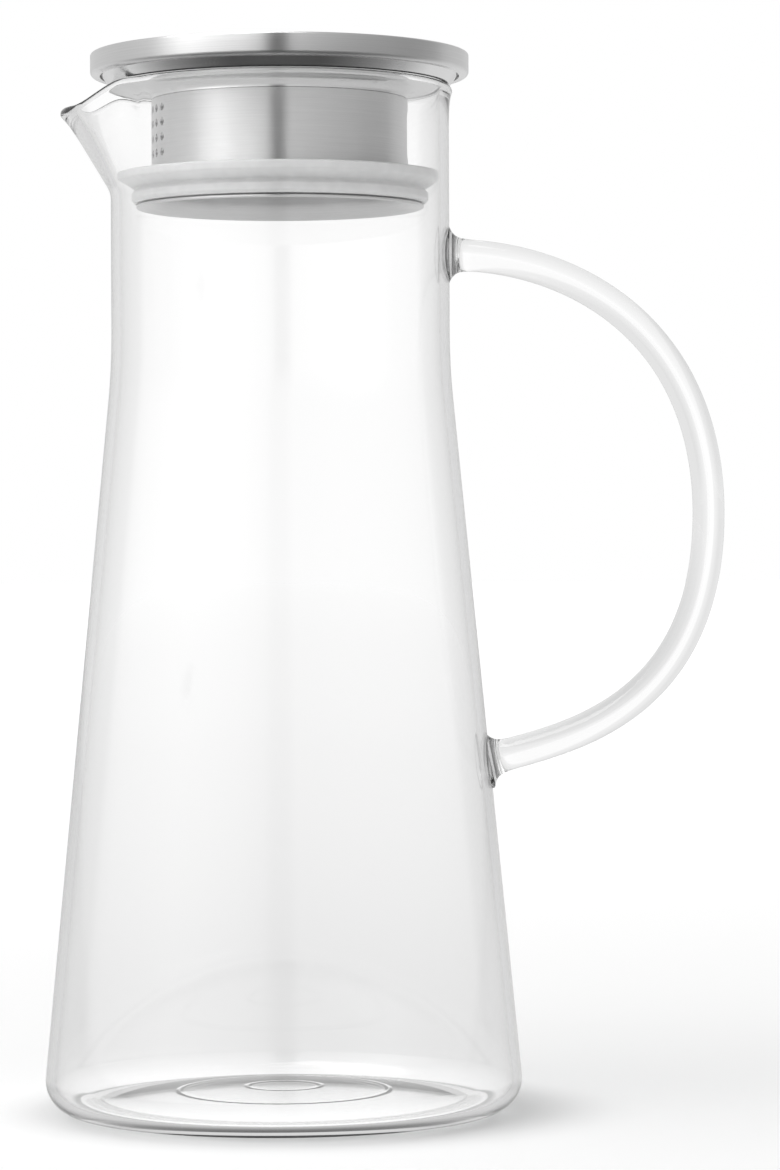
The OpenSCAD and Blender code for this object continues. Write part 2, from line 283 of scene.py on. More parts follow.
def turnedTree():
    # turns an outline round the axis, with a lip drawn out at one angle
    tree, inlet, outlet = makeGroup(
        "turnedForm", "GeometryNodeTree",
        [("Profile", "NodeSocketGeometry", None), ("Segments", "NodeSocketInt", 192),
         ("Lip Angle", "NodeSocketFloat", math.pi), ("Lip Spread", "NodeSocketFloat", 1.0),
         ("Dip Spread", "NodeSocketFloat", 1.0), ("Dip Level", "NodeSocketFloat", 0.0),
         ("Material", "NodeSocketMaterial", None)],
        [("Geometry", "NodeSocketGeometry")])
    profile = inlet.outputs["Profile"]
    count = addNode(tree, "GeometryNodeAttributeDomainSize", {0: profile}, component="MESH")
    size = count.outputs["Point Count"]
    segments = inlet.outputs["Segments"]
    grid = addNode(tree, "GeometryNodeMeshGrid", {
        "Size X": 1.0, "Size Y": 1.0,
        "Vertices X": calc(tree, "ADD", segments, 1.0), "Vertices Y": size}).outputs["Mesh"]
    index = addNode(tree, "GeometryNodeInputIndex").outputs[0]
    turn = calc(tree, "FLOOR", calc(tree, "DIVIDE", index, size))
    step = calc(tree, "SUBTRACT", index, calc(tree, "MULTIPLY", turn, size))

    def sample(name, kind="FLOAT"):
        source = (addNode(tree, "GeometryNodeInputPosition") if name == "position"
                  else addNode(tree, "GeometryNodeInputNamedAttribute", {"Name": name}, data_type=kind))
        node = addNode(tree, "GeometryNodeSampleIndex", data_type=kind, domain="POINT")
        tree.links.new(profile, node.inputs["Geometry"])
        tree.links.new(source.outputs[0], node.inputs["Value"])
        tree.links.new(step, node.inputs["Index"])
        return node.outputs[0]

    start = addNode(tree, "ShaderNodeSeparateXYZ", {0: sample("position", "FLOAT_VECTOR")})
    angle = calc(tree, "DIVIDE", calc(tree, "MULTIPLY", turn, 2 * math.pi), segments)
    away = calc(tree, "ABSOLUTE", calc(tree, "SUBTRACT", angle, inlet.outputs["Lip Angle"]))

    def bell(spread, level):
        beyond = calc(tree, "MAXIMUM", calc(tree, "SUBTRACT", away, level), 0.0)
        slope = calc(tree, "SUBTRACT", spread, level)
        share = calc(tree, "MINIMUM", calc(tree, "DIVIDE", beyond, slope), 1.0)
        wave = calc(tree, "COSINE", calc(tree, "MULTIPLY", share, math.pi / 2))
        return calc(tree, "MULTIPLY", wave, wave)

    lip = bell(inlet.outputs["Lip Spread"], 0.0)
    dip = bell(inlet.outputs["Dip Spread"], inlet.outputs["Dip Level"])
    # middle line and its direction at this angle
    midR = calc(tree, "ADD", start.outputs[0], calc(tree, "MULTIPLY", lip, sample("lean")))
    midZ = calc(tree, "SUBTRACT", start.outputs[2], calc(tree, "MULTIPLY", dip, sample("dip")))
    rateR = calc(tree, "ADD", sample("runRate"), calc(tree, "MULTIPLY", lip, sample("leanRate")))
    rateZ = calc(tree, "SUBTRACT", sample("riseRate"), calc(tree, "MULTIPLY", dip, sample("dipRate")))
    rate = calc(tree, "MAXIMUM", lengthOf(tree, rateR, rateZ), 1e-6)
    upR = calc(tree, "DIVIDE", rateR, rate)
    upZ = calc(tree, "DIVIDE", rateZ, rate)
    out, up = sample("outShift"), sample("upShift")
    radius = calc(tree, "ADD", midR, calc(
        tree, "ADD", calc(tree, "MULTIPLY", out, upZ), calc(tree, "MULTIPLY", up, upR)))
    height = calc(tree, "ADD", midZ, calc(
        tree, "SUBTRACT", calc(tree, "MULTIPLY", up, upZ), calc(tree, "MULTIPLY", out, upR)))
    place = addNode(tree, "ShaderNodeCombineXYZ", {
        0: calc(tree, "MULTIPLY", radius, calc(tree, "COSINE", angle)),
        1: calc(tree, "MULTIPLY", radius, calc(tree, "SINE", angle)),
        2: height}).outputs[0]
    shaped = addNode(tree, "GeometryNodeSetPosition", {"Geometry": grid, "Position": place}).outputs[0]
    closed = addNode(tree, "GeometryNodeMergeByDistance", {"Geometry": shaped, "Distance": 2e-6}).outputs[0]
    dress(tree, closed, inlet, outlet)
    return tree


turnedForm = turnedTree()


def socketId(tree, label):
    for item in tree.interface.items_tree:
        if item.item_type == "SOCKET" and item.in_out == "INPUT" and item.name == label:
            return item.identifier
    raise KeyError(label)


def outlineMesh(name, points, closed, rows=None):
    # points in mm in the XZ plane; rows: attributes per point, in metres
    mesh = bpy.data.meshes.new(name)
    if closed:
        points = points + [points[0]]
    mesh.from_pydata(
        [(x * mm, 0, z * mm) for x, z in points], [(i, i + 1) for i in range(len(points) - 1)], [])
    for label, values in (rows or {}).items():
        layer = mesh.attributes.new(label, "FLOAT", "POINT")
        layer.data.foreach_set("value", values)
    return mesh


def grow(name, base, steps, sharp, cutter=None):
    # takes a base mesh through one or more node trees, less the cutter, to a plain mesh
    start = bpy.data.objects.new(name + "Start", base)
    bpy.context.scene.collection.objects.link(start)
    for tree, values in steps:
        modifier = start.modifiers.new(tree.name, "NODES")
        modifier.node_group = tree
        for label, value in values.items():
            modifier[socketId(tree, label)] = value
    if cutter:
        modifier = start.modifiers.new("cut", "BOOLEAN")
        modifier.operation, modifier.solver, modifier.object = "DIFFERENCE", "EXACT", cutter
    graph = bpy.context.evaluated_depsgraph_get()
    mesh = bpy.data.meshes.new_from_object(start.evaluated_get(graph), depsgraph=graph)
    bpy.data.objects.remove(start)
    mesh.name = name
    volume = 0.0
    mesh.calc_loop_triangles()
    for triangle in mesh.loop_triangles:
        a, b, c = (mesh.vertices[i].co for i in triangle.vertices)
        volume += a.dot(b.cross(c)) / 6
    if volume < 0:
        mesh.flip_normals()
    mesh.shade_smooth()
    mesh.set_sharp_from_angle(angle=math.radians(sharp))
    piece = bpy.data.objects.new(name, mesh)
    bpy.context.scene.collection.objects.link(piece)
    print(f"{name}: {len(mesh.loop_triangles)} triangles, {abs(volume) * 1e6:.2f} ml")
    return piece


def arc(x, z, r, start, end, steps):
    angles = [math.radians(start + (end - start) * i / steps) for i in range(steps + 1)]
    return [(x + r * math.cos(a), z + r * math.sin(a)) for a in angles]


def line(a, b, steps):
    # points between a and b, without a and with b
    return [(a[0] + (b[0] - a[0]) * i / steps, a[1] + (b[1] - a[1]) * i / steps) for i in range(1, steps + 1)]


carafe = {
    "neckRadius": 41.4, "wall": 2.3, "bodyRadius": 58.25, "rimHeight": 250.5, "taperTop": 182.0,
    "shoulderRadius": 176.0, "footRadius": 8.0, "floorRadius": 5.6, "floorThickness": 2.4,
    "floorMiddle": 2.6, "punt": 3.8, "restWidth": 5.5,
    "ringRadii": (8.8, 25.3), "ringBead": 0.3,
    "ringWidth": 4.0, "ringHeight": 0.35,        # the mould rings are soft: times the bead's radius
    "rimBead": 1.35, "rimFlare": 0.65, "flarePower": 12, "beadPower": 10,
    "lipReach": 12.1, "lipDrop": 5.2, "lipDepth": 25.5, "lipBlend": 4.0,
    "lipSpread": 37.0, "dipSpread": 30.0, "dipLevel": 10.0,
    "segments": 288,
}
neckR, wall = carafe["neckRadius"], carafe["wall"]
footX = carafe["bodyRadius"] - carafe["footRadius"]
run, rise = neckR - footX, carafe["taperTop"] - carafe["footRadius"]
taper = math.degrees(math.asin(carafe["footRadius"] / math.hypot(run, rise)) - math.atan2(run, rise))
shoulderZ = carafe["taperTop"] + carafe["shoulderRadius"] * math.tan(math.radians(taper / 2))
floorZ = carafe["floorThickness"] + carafe["floorRadius"]
slant = (carafe["taperTop"] - floorZ) * math.sin(math.radians(taper))
floorX = neckR - (wall + carafe["floorRadius"] - slant) / math.cos(math.radians(taper))
restIn = footX - carafe["restWidth"]
skinZ = carafe["rimHeight"] - carafe["lipDepth"] - carafe["lipBlend"]


def floorAt(r):
    floorRise = carafe["punt"] + carafe["floorMiddle"] - carafe["floorThickness"]
    return carafe["floorThickness"] + floorRise * (1 - (r / floorX) ** 2)


def undersideAt(r):
    low = carafe["punt"] * (1 - (r / restIn) ** 2)
    for ring in carafe["ringRadii"]:
        off = abs(r - ring) / (carafe["ringBead"] * carafe["ringWidth"])
        if off < 1:
            low -= carafe["ringBead"] * carafe["ringHeight"] * math.cos(off * math.pi / 2) ** 2
    return low


def carafeOutline():
    points = []
    rows = {label: [] for label in (
        "lean", "leanRate", "dip", "dipRate", "runRate", "riseRate", "outShift", "upShift")}

    def plain(some):
        points.extend(some)
        for values in rows.values():
            values.extend([0.0] * len(some))

    # underside from the middle out, with more points at the mould rings
    ringHalf = carafe["ringBead"] * carafe["ringWidth"]
    radii = {round(restIn * i / 40, 3) for i in range(41)}
    radii |= {round(ring + ringHalf * k / 8, 3) for ring in carafe["ringRadii"] for k in range(-8, 9)}
    plain([(r, undersideAt(r)) for r in sorted(radii)])
    plain(line((restIn, 0), (footX, 0), 3)[:-1])
    plain(arc(footX, carafe["footRadius"], carafe["footRadius"], -90, taper, 22))
    side = arc(neckR + carafe["shoulderRadius"], shoulderZ, carafe["shoulderRadius"], 180 + taper, 180, 16)
    plain(line(points[-1], side[0], 24)[:-1])
    plain(side)
    plain(line(side[-1], (neckR, skinZ), 8)[:-1])

    # drawn neck: middle line, its rates and the offsets to the two faces
    depth = carafe["lipDepth"] + carafe["lipBlend"]
    length = depth - carafe["rimBead"]
    leanAt = (carafe["lipBlend"] + 1) / depth
    soft = leanAt * 0.5

    def leanOut(t):
        # how far the wall leans out at t, and how fast
        into = t - leanAt + soft
        if into < 0:
            return 0.0, 0.0
        if into < 2 * soft:
            return into ** 2 / (4 * soft) / (1 - leanAt), into / (2 * soft) / (1 - leanAt)
        return (t - leanAt) / (1 - leanAt), 1 / (1 - leanAt)

    def drawn(t, out, up):
        bend, bendRate = leanOut(t)
        flare, power = carafe["rimFlare"], carafe["flarePower"]
        points.append((neckR - wall / 2 + flare * t ** power, skinZ + t * length))
        reach = (carafe["lipReach"] - flare) * mm
        values = {
            "lean": reach * bend, "leanRate": reach * bendRate,
            "dip": carafe["lipDrop"] * mm * t, "dipRate": carafe["lipDrop"] * mm,
            "runRate": power * flare * t ** (power - 1) * mm, "riseRate": length * mm,
            "outShift": out * mm, "upShift": up * mm}
        for label, value in values.items():
            rows[label].append(value)

    bead = carafe["rimBead"]

    def half(t):
        return wall / 2 + (bead - wall / 2) * t ** carafe["beadPower"]

    shares = [i / 30 for i in range(28)] + [0.925, 0.95, 0.965, 0.98, 0.99, 1.0]
    for t in shares:
        drawn(t, half(t), 0)
    for i in range(1, 12):
        a = math.pi * i / 12
        drawn(1.0, bead * math.cos(a), bead * math.sin(a))
    for t in reversed(shares):
        drawn(t, -half(t), 0)

    # inner face down to the middle of the floor
    shoulderR = carafe["shoulderRadius"]
    inner = arc(neckR + shoulderR, shoulderZ, shoulderR + wall, 180, 180 + taper, 16)
    plain(line((neckR - wall, skinZ), inner[0], 8))
    plain(inner[1:])
    corner = arc(floorX, floorZ, carafe["floorRadius"], taper, -90, 20)
    plain(line(inner[-1], corner[0], 24)[:-1])
    plain(corner)
    plain([(floorX * i / 24, floorAt(floorX * i / 24)) for i in range(23, -1, -1)])
    return outlineMesh("carafeOutline", points, False, rows)


glassBody = grow("glassBody", carafeOutline(), [(turnedForm, {
    "Segments": carafe["segments"], "Lip Spread": math.radians(carafe["lipSpread"]),
    "Dip Spread": math.radians(carafe["dipSpread"]), "Dip Level": math.radians(carafe["dipLevel"]),
    "Material": bodyGlass})], 60)


handle = {
    "radius": 3.9, "reach": 104.6, "topZ": 209.2, "farZ": 146.0, "lowZ": 85.5, "flare": 3.0, "fade": 1.2,
    "topPull": 0.476, "farUp": 0.707, "farDown": 0.855, "lowPull": 0.278, "lowAngle": 18.0, "bite": 3.0,
    "sink": 0.5,            # how deep the fused ends lie in the wall
    "sides": 48, "rings": 90, "biteRings": 8,
    "crowding": 1.6,        # brings the rings closer together near the roots
    "coreBelow": 25.0, "coreAbove": 20.0,
}


def rodTree():
    tree, inlet, outlet = makeGroup(
        "drawnRod", "GeometryNodeTree",
        [("Path", "NodeSocketGeometry", None), ("Sides", "NodeSocketInt", 32),
         ("Radius", "NodeSocketFloat", 0.004),
         ("Flare", "NodeSocketFloat", 0.003), ("Fade", "NodeSocketFloat", 0.001),
         ("Neck Radius", "NodeSocketFloat", 0.04), ("Taper Top", "NodeSocketFloat", 0.18),
         ("Taper Slope", "NodeSocketFloat", 0.1), ("Material", "NodeSocketMaterial", None)],
        [("Geometry", "NodeSocketGeometry")])
    get = inlet.outputs
    curve = addNode(tree, "GeometryNodeMeshToCurve", {0: get["Path"]}).outputs[0]
    ring = addNode(tree, "GeometryNodeCurvePrimitiveCircle", {
        "Resolution": get["Sides"], "Radius": get["Radius"]}).outputs[0]
    rod = addNode(tree, "GeometryNodeCurveToMesh", {
        "Curve": curve, "Profile Curve": ring, "Fill Caps": True}).outputs[0]
    # the rod widens where it comes near the carafe's outer face
    position = addNode(tree, "GeometryNodeInputPosition").outputs[0]
    x, y, z = addNode(tree, "ShaderNodeSeparateXYZ", {0: position}).outputs
    radius = lengthOf(tree, x, y)
    lower = calc(tree, "MAXIMUM", calc(tree, "SUBTRACT", get["Taper Top"], z), 0.0)
    wallAt = calc(tree, "ADD", get["Neck Radius"], calc(tree, "MULTIPLY", lower, get["Taper Slope"]))
    gap = calc(tree, "MAXIMUM", calc(tree, "SUBTRACT", radius, wallAt), 0.0)
    share = calc(tree, "EXPONENT", calc(tree, "MULTIPLY", calc(tree, "DIVIDE", gap, get["Fade"]), -1.0))
    offset = addNode(tree, "ShaderNodeVectorMath", {
        0: addNode(tree, "GeometryNodeInputNormal").outputs[0]}, operation="SCALE")
    tree.links.new(calc(tree, "MULTIPLY", share, get["Flare"]), offset.inputs["Scale"])
    flared = addNode(tree, "GeometryNodeSetPosition", {"Geometry": rod, "Offset": offset.outputs[0]}).outputs[0]
    dress(tree, flared, inlet, outlet)
    return tree


def bezier(p, t):
    weights = ((1 - t) ** 3, 3 * (1 - t) ** 2 * t, 3 * (1 - t) * t * t, t ** 3)
    return Vector([sum(w * q[k] for w, q in zip(weights, p)) for k in (0, 1)])


def outerAt(z):
    # radius of the carafe's outer face, without the soft bend under the neck
    return neckR + max(carafe["taperTop"] - z, 0) * math.tan(math.radians(taper))


def rodPath():
    reach, far, bite = handle["reach"], Vector((handle["reach"], handle["farZ"])), handle["bite"]
    topRoot = Vector((neckR, handle["topZ"]))
    lowRoot = Vector((outerAt(handle["lowZ"]), handle["lowZ"]))
    lowAngle = math.radians(handle["lowAngle"])
    lowDir = Vector((math.cos(lowAngle), math.sin(lowAngle)))
    topCurve = [topRoot, topRoot + Vector(((reach - neckR) * handle["topPull"], 0)),
                far + Vector((0, (handle["topZ"] - handle["farZ"]) * handle["farUp"])), far]
    lowCurve = [far, far - Vector((0, (handle["farZ"] - handle["lowZ"]) * handle["farDown"])),
                lowRoot + lowDir * (reach - lowRoot[0]) * handle["lowPull"], lowRoot]
    n, inner, power = handle["rings"], handle["biteRings"], handle["crowding"]
    return ([topRoot - Vector((bite * (1 - i / inner), 0)) for i in range(inner)]
            + [bezier(topCurve, (i / n) ** power) for i in range(n + 1)]
            + [bezier(lowCurve, 1 - (1 - i / n) ** power) for i in range(1, n + 1)]
            + [lowRoot - lowDir * (bite * (i + 1) / inner) for i in range(inner)])


def coreOutline():
    # the carafe's filled form, a little smaller, that the rod's ends are cut to
    low, high = handle["lowZ"] - handle["coreBelow"], handle["topZ"] + handle["coreAbove"]
    face = [(outerAt(z) - handle["sink"], z) for z in (low, carafe["taperTop"], high)]
    return outlineMesh("coreOutline", [(0, low)] + face + [(0, high)], False)


drawnRod = rodTree()
core = grow("rodCore", coreOutline(), [
    (turnedForm, {"Segments": carafe["segments"], "Material": handleGlass})], 60)
glassHandle = grow("glassHandle", outlineMesh("rodPath", [tuple(p) for p in rodPath()], False), [
    (drawnRod, {
        "Sides": handle["sides"], "Radius": handle["radius"] * mm,
        "Flare": handle["flare"] * mm, "Fade": handle["fade"] * mm,
        "Neck Radius": neckR * mm, "Taper Top": carafe["taperTop"] * mm,
        "Taper Slope": math.tan(math.radians(taper)), "Material": handleGlass})], 60, core)
bpy.data.objects.remove(core)


lid = {
    "capOver": 4.9, "capHeight": 5.4, "capSheet": 0.8, "capEdge": 0.5,
    "hemRadius": 1.1, "hemWidth": 2.0, "hemRise": 2.2,
    "plateSheet": 0.7, "flareRadius": 3.5, "collarLap": 1.3,
    "pourGap": 7.7, "tubeSheet": 0.7, "tubeDrop": 30.0, "flangeWidth": 3.8,
    "holeDiameter": 1.95, "holePitch": 3.65, "holeDrop": 6.2, "holeRows": 4, "holeColumns": 9,
    "holeStep": 7.0,
    "windowWidth": 12.6, "windowHeight": 10.0, "windowDrop": 12.4, "windowRadius": 3.0,
    "gasketHeight": 7.6, "gasketLip": 2.4, "gasketReach": 2.5, "gasketGroove": 0.8,
    "softBends": 0.8, "softSilicone": 0.7,       # radii that round the drawn corners
    "seatGap": 0.2, "gasketGap": 0.3, "boreGap": 0.08, "flangeGap": 0.35, "flangeFlat": 0.1,
    "segments": 256,
}
capR = neckR + lid["capOver"]
seatZ = carafe["rimHeight"] + lid["seatGap"]
hemZ = seatZ + lid["hemRise"]
capZ = hemZ + lid["capHeight"]
coneTop = capR - lid["hemWidth"] - lid["capSheet"] / 2
coneLow = coneTop - lid["hemRise"]
tubeR = neckR - wall - lid["pourGap"]
tubeIn = tubeR - lid["tubeSheet"]
tubeZ = carafe["rimHeight"] - lid["tubeDrop"]
jointZ = seatZ - lid["flareRadius"]
flangeOut = tubeR + lid["flangeWidth"]
bellR = lid["flangeWidth"] - lid["tubeSheet"] / 2 - lid["flangeFlat"]
bellX, bellZ = tubeR + bellR, tubeZ + lid["tubeSheet"] + bellR


def soften(points, radius, steps=5):
    # rounds every corner of a closed outline of (x, z) by up to radius
    result = []
    count = len(points)
    for i, p in enumerate(points):
        before, here, after = Vector(points[i - 1]), Vector(p), Vector(points[(i + 1) % count])
        a, b = before - here, after - here
        if here.x < 1e-6 or a.length < 1e-6 or b.length < 1e-6:
            result.append(tuple(here))
            continue
        angle = a.angle(b)
        if angle > math.radians(160):
            result.append(tuple(here))
            continue
        cut = min(radius / math.tan(angle / 2), a.length * 0.45, b.length * 0.45)
        start, end = here + a.normalized() * cut, here + b.normalized() * cut
        for k in range(steps + 1):
            t = k / steps
            result.append(tuple(start * (1 - t) ** 2 + here * 2 * t * (1 - t) + end * t * t))
    return result


def dense(points, longest):
    # splits long stretches so that the turned mesh has even faces
    result = [points[0]]
    for p in points[1:]:
        gap = math.dist(result[-1], p)
        result.extend(line(result[-1], p, max(1, math.ceil(gap / longest))))
    return result


def capOutline():
    s = lid["capSheet"]
    outer = [(0, capZ)] + arc(capR - lid["capEdge"], capZ - lid["capEdge"], lid["capEdge"], 90, 0, 8)
    outer += arc(capR - lid["hemRadius"], hemZ + lid["hemRadius"], lid["hemRadius"], 0, -90, 10)
    hemX = capR - lid["hemWidth"]
    inner = soften([
        (0, capZ - s), (hemX, hemZ), (hemX, hemZ + s), (capR - s, hemZ + s), (capR - s, capZ - s)], 0.3)
    return outlineMesh("capOutline", dense(outer + inner[1:] + [(0, capZ - s)], 2.5), False)


lidCap = grow("lidCap", capOutline(), [
    (turnedForm, {"Segments": lid["segments"], "Material": capSteel})], 50)


def plateOutline():
    t = lid["plateSheet"]
    flareX = tubeR + lid["flareRadius"]
    riseZ = hemZ + lid["capSheet"]
    edge = capR - lid["capSheet"]
    seatIn = coneLow - 6
    points = [(tubeIn - t, jointZ - lid["collarLap"]), (tubeIn, jointZ - lid["collarLap"]), (tubeIn, jointZ)]
    points += arc(flareX, jointZ, lid["flareRadius"], 178, 90, 12)
    # the two bends alone: soften gives six points for each corner, also for the ends
    points += soften([(seatIn, seatZ), (coneLow, seatZ), (coneTop, riseZ),
                      (edge, riseZ)], lid["softBends"])[6:-6]
    points += [(edge, riseZ), (edge, riseZ + t)]
    points += soften([(capR, riseZ + t), (coneTop - t / 2, riseZ + t), (coneLow - t / 2, seatZ + t),
                      (seatIn, seatZ + t)], lid["softBends"])[6:-6]
    points += arc(flareX, jointZ, lid["flareRadius"] + t, 90, 165, 10)
    points += [(tubeIn - t, jointZ + t / 2)]
    return outlineMesh("plateOutline", dense(points, 2.0), True)


lidUnderplate = grow("lidUnderplate", plateOutline(), [
    (turnedForm, {"Segments": lid["segments"], "Material": plateSteel})], 50)


def tubeOutline():
    t = lid["tubeSheet"]
    points = [(tubeIn, jointZ)] + arc(bellX, bellZ, bellR + t, 180, 270, 18)
    points += arc(flangeOut - t / 2, tubeZ + t / 2, t / 2, -90, 90, 8)
    points += arc(bellX, bellZ, bellR, 270, 180, 16)
    points += [(tubeR, jointZ)]
    return outlineMesh("tubeOutline", dense(points, 1.6), True)


def pierceTree():
    tree, inlet, outlet = makeGroup(
        "piercedStrainer", "GeometryNodeTree",
        [("Sheet", "NodeSocketGeometry", None), ("Radius", "NodeSocketFloat", 0.03),
         ("Hole Radius", "NodeSocketFloat", 0.001), ("Pitch", "NodeSocketFloat", 0.0036),
         ("Top Row", "NodeSocketFloat", 0.244), ("Rows", "NodeSocketInt", 4), ("Columns", "NodeSocketInt", 7),
         ("Step", "NodeSocketFloat", 0.12), ("Window Width", "NodeSocketFloat", 0.012),
         ("Window Height", "NodeSocketFloat", 0.01), ("Window Corner", "NodeSocketFloat", 0.003),
         ("Window Z", "NodeSocketFloat", 0.238), ("Material", "NodeSocketMaterial", None)],
        [("Geometry", "NodeSocketGeometry")])
    get = inlet.outputs
    # one punch for each hole, standing on a grid of rows and columns
    rows = addNode(tree, "GeometryNodeMeshGrid", {
        "Size X": 1.0, "Size Y": 1.0, "Vertices X": get["Columns"], "Vertices Y": get["Rows"]}).outputs["Mesh"]
    index = addNode(tree, "GeometryNodeInputIndex").outputs[0]
    column = calc(tree, "FLOOR", calc(tree, "DIVIDE", index, get["Rows"]))
    row = calc(tree, "SUBTRACT", index, calc(tree, "MULTIPLY", column, get["Rows"]))
    middle = calc(tree, "DIVIDE", calc(tree, "SUBTRACT", get["Columns"], 1.0), 2.0)
    aside = calc(tree, "MULTIPLY", calc(tree, "SUBTRACT", column, middle), get["Step"])
    angle = calc(tree, "ADD", aside, math.pi)
    place = addNode(tree, "ShaderNodeCombineXYZ", {
        0: calc(tree, "MULTIPLY", get["Radius"], calc(tree, "COSINE", angle)),
        1: calc(tree, "MULTIPLY", get["Radius"], calc(tree, "SINE", angle)),
        2: calc(tree, "SUBTRACT", get["Top Row"], calc(tree, "MULTIPLY", row, get["Pitch"]))}).outputs[0]
    spots = addNode(tree, "GeometryNodeSetPosition", {"Geometry": rows, "Position": place}).outputs[0]
    punch = addNode(tree, "GeometryNodeMeshCylinder", {
        "Vertices": 24, "Radius": get["Hole Radius"], "Depth": 0.004}).outputs["Mesh"]
    turn = addNode(tree, "ShaderNodeCombineXYZ", {0: 0.0, 1: math.pi / 2, 2: angle}).outputs[0]
    punches = addNode(tree, "GeometryNodeInstanceOnPoints", {
        "Points": spots, "Instance": punch, "Rotation": turn}).outputs[0]
    punches = addNode(tree, "GeometryNodeRealizeInstances", {"Geometry": punches}).outputs[0]
    # the window's punch: a rounded block along X, through the sheet
    frameCurve = addNode(tree, "GeometryNodeCurvePrimitiveQuadrilateral", {
        "Width": get["Window Height"], "Height": get["Window Width"]}).outputs[0]
    fillet = addNode(tree, "GeometryNodeFilletCurve", {0: frameCurve}, mode="POLY")
    for label, value in (("Radius", get["Window Corner"]), ("Count", 10), ("Limit Radius", True)):
        feed(tree, value, fillet.inputs[label])
    start, end = (
        addNode(tree, "ShaderNodeCombineXYZ", {
            0: calc(tree, "MULTIPLY", get["Radius"], reach), 1: 0.0, 2: get["Window Z"]}).outputs[0]
        for reach in (0.7, 1.3))
    path = addNode(tree, "GeometryNodeCurvePrimitiveLine", {"Start": start, "End": end}).outputs[0]
    block = addNode(tree, "GeometryNodeCurveToMesh", {
        "Curve": path, "Profile Curve": fillet.outputs[0], "Fill Caps": True}).outputs[0]
    cut = addNode(tree, "GeometryNodeMeshBoolean", operation="DIFFERENCE", solver="EXACT")
    tree.links.new(get["Sheet"], cut.inputs[0])
    for cutter in (punches, block):
        tree.links.new(cutter, cut.inputs[1])
    dress(tree, cut.outputs[0], inlet, outlet)
    return tree


piercedStrainer = pierceTree()
strainerTube = grow("strainerTube", tubeOutline(), [
    (turnedForm, {"Segments": lid["segments"], "Material": tubeSteel}),
    (piercedStrainer, {
        "Radius": tubeR * mm, "Hole Radius": lid["holeDiameter"] / 2 * mm, "Pitch": lid["holePitch"] * mm,
        "Top Row": (carafe["rimHeight"] - lid["holeDrop"]) * mm,
        "Rows": lid["holeRows"], "Columns": lid["holeColumns"], "Step": math.radians(lid["holeStep"]),
        "Window Width": lid["windowWidth"] * mm, "Window Height": lid["windowHeight"] * mm,
        "Window Corner": lid["windowRadius"] * mm,
        "Window Z": (carafe["rimHeight"] - lid["windowDrop"]) * mm, "Material": tubeSteel})], 40)


def gasketOutline():
    bore = tubeR + lid["boreGap"]
    out = neckR - wall - lid["gasketGap"]
    body = out - lid["gasketReach"]
    low = tubeZ + lid["tubeSheet"] + lid["flangeGap"]
    top = low + lid["gasketHeight"]
    lipZ = top - lid["gasketLip"]
    g = lid["gasketGroove"]
    corner = bellR - lid["boreGap"]
    turn = math.degrees(math.asin((bellR - lid["flangeGap"]) / corner))
    points = arc(bellX, bellZ, corner, 180, 180 + turn, 9)
    points += [(body - g, low), (body, low + g), (body, low + 3 * g), (body - g, low + 4 * g),
               (body - g, low + 4.5 * g), (out - g / 2, lipZ), (out, lipZ + g / 2),
               (out, top - g / 2), (out - g / 2, top), (bore, top)]
    return outlineMesh("gasketOutline", dense(soften(points, lid["softSilicone"]), 0.8), True)


siliconeGasket = grow("siliconeGasket", gasketOutline(), [
    (turnedForm, {"Segments": lid["segments"], "Material": satinSilicone})], 60)

for piece, body, nodeName, slotName in (
        (glassBody, "carafe", "glass_body", "glass"), (glassHandle, "carafe", "glass_handle", "glass"),
        (lidCap, "lid", "lid_cap", "steel"), (lidUnderplate, "lid", "lid_underplate", "steel"),
        (strainerTube, "lid", "strainer_tube", "steel"),
        (siliconeGasket, "seal", "silicone_gasket", "silicone")):
    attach(piece, body)
    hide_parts(nodeName)
print("pieces made")


def ramp(tree, value, stops, curve="LINEAR"):
    node = addNode(tree, "ShaderNodeValToRGB", {0: value})
    node.color_ramp.interpolation = curve
    elements = node.color_ramp.elements
    while len(elements) > 1:
        elements.remove(elements[-1])
    for i, (place, level) in enumerate(stops):
        element = elements[0] if i == 0 else elements.new(place)
        element.position = place
        element.color = (level, level, level, 1)
    return node.outputs[0]


